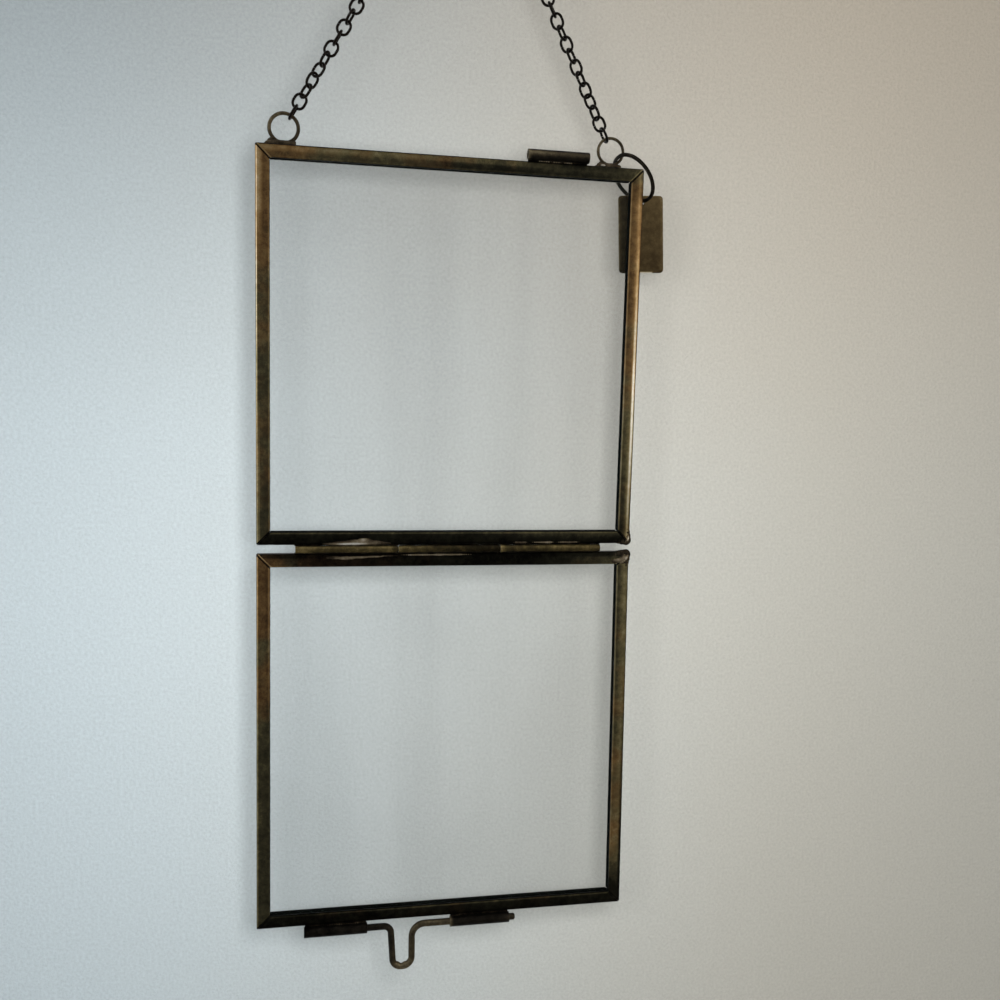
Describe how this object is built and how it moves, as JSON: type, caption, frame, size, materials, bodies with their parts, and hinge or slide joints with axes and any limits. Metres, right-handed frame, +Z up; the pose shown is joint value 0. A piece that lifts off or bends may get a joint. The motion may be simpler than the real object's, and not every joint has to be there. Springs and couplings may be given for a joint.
{
  "type": "hinged glass picture frame",
  "caption": "Square double-glass picture frame hinged to fold in half, hung open from a link chain, with a wire pin that locks it shut and a small blank tag.",
  "frame": {"origin": "middle of the eye of the chain's top link, where a nail carries the frame", "axes": "+X to the viewer's right, +Z up, +Y away from the viewer toward the wall"},
  "size_m": [0.1398, 0.018, 0.3887],
  "materials": {
    "brass_channel": "aged brass sheet, dark patina worn golden on its outer edges",
    "brass_fittings": "aged dark brass tube and wire",
    "solder": "dulled soft solder",
    "pane_glass": "clear window glass",
    "tag_brass": "bare plate, brown patina",
    "chain_metal": "nearly black bronzed wire"
  },
  "bodies": {
    "chain": {"chain_left": "chain_metal", "chain_right": "chain_metal", "chain_top_link": "chain_metal"},
    "upper_panel": {"upper_top_rail": "brass_channel", "upper_bottom_rail": "brass_channel", "upper_left_stile": "brass_channel", "upper_right_stile": "brass_channel", "upper_glass": "pane_glass", "upper_corner_solder": "solder", "hinge_knuckle_left": "brass_fittings", "hinge_knuckle_right": "brass_fittings", "hinge_pin": "brass_fittings", "upper_hinge_solder": "solder", "upper_latch_tube": "brass_fittings", "upper_latch_solder": "solder", "left_hanging_ring": "brass_fittings", "right_hanging_ring": "brass_fittings", "left_ring_solder": "solder", "right_ring_solder": "solder"},
    "lower_panel": {"lower_top_rail": "brass_channel", "lower_bottom_rail": "brass_channel", "lower_left_stile": "brass_channel", "lower_right_stile": "brass_channel", "lower_glass": "pane_glass", "lower_corner_solder": "solder", "hinge_knuckle_middle": "brass_fittings", "lower_hinge_solder": "solder", "lower_latch_tube_left": "brass_fittings", "lower_latch_tube_right": "brass_fittings", "lower_latch_solder": "solder"},
    "latch_pin": {"latch_pin": "brass_fittings"},
    "tag_ring": {"tag_ring": "brass_fittings"},
    "tag": {"tag_plate": "tag_brass"}
  },
  "joints": [
    {"name": "frame_swing", "type": "hinge", "parent": "chain", "child": "upper_panel", "pos_m": [-0.00405, 0, -0.09634], "axis": [-1, 0, 0], "range_deg": [-30, 45]},
    {"name": "panel_fold", "type": "hinge", "parent": "upper_panel", "child": "lower_panel", "pos_m": [-0.00276, -0.0021, -0.23697], "axis": [-1, 0, 0], "range_deg": [-37.4, 177.6]},
    {"name": "latch_slide", "type": "slide", "parent": "lower_panel", "child": "latch_pin", "axis": [1, 0, 0], "range_m": [-0.005, 0.0084]},
    {"name": "tag_ring_swing", "type": "hinge", "parent": "upper_panel", "child": "tag_ring", "pos_m": [0.054, 0, -0.10272], "axis": [0.5561, 0, 0.8311], "range_deg": [0, 15]},
    {"name": "tag_swing", "type": "hinge", "parent": "tag_ring", "child": "tag", "pos_m": [0.06269, 0.0028, -0.11542], "axis": [0, 1, 0], "range_deg": [-25, 25]}
  ]
}
